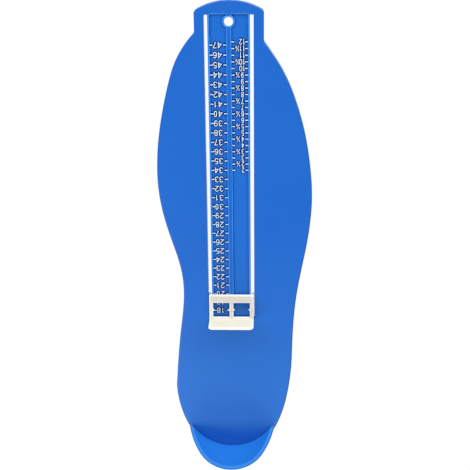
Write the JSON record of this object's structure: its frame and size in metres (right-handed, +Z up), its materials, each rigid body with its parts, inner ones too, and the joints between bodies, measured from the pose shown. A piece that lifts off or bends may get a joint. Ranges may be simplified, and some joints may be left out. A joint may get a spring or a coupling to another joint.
{
  "type": "foot measuring device",
  "caption": "Foot-shaped measuring plate with a heel cup, a sliding toe stop that runs in two slots, raised size scales and a hanging hole.",
  "frame": {"origin": "centre of the bounding box on plan, on the surface that the device lies on", "axes": "+Y from the heel cup to the toe end, +Z up out of the plate, +X to the right when seen from above with the toe end away"},
  "size_m": [0.1094, 0.3405, 0.0358],
  "materials": {
    "plate_plastic": "satin moulded",
    "slider_plastic": "satin moulded",
    "scale_ink": "tops of the raised marks, white"
  },
  "bodies": {
    "plate": {"foot_plate": "plate_plastic", "eu_scale_ticks": "scale_ink", "eu_scale_numbers": "scale_ink", "uk_scale_ticks": "scale_ink", "uk_scale_numbers": "scale_ink"},
    "slider": {"size_slider": "slider_plastic"}
  },
  "joints": [
    {"name": "slider_slide", "type": "slide", "parent": "plate", "child": "slider", "axis": [0, 1, 0], "range_m": [-0.0013, 0.2]}
  ]
}
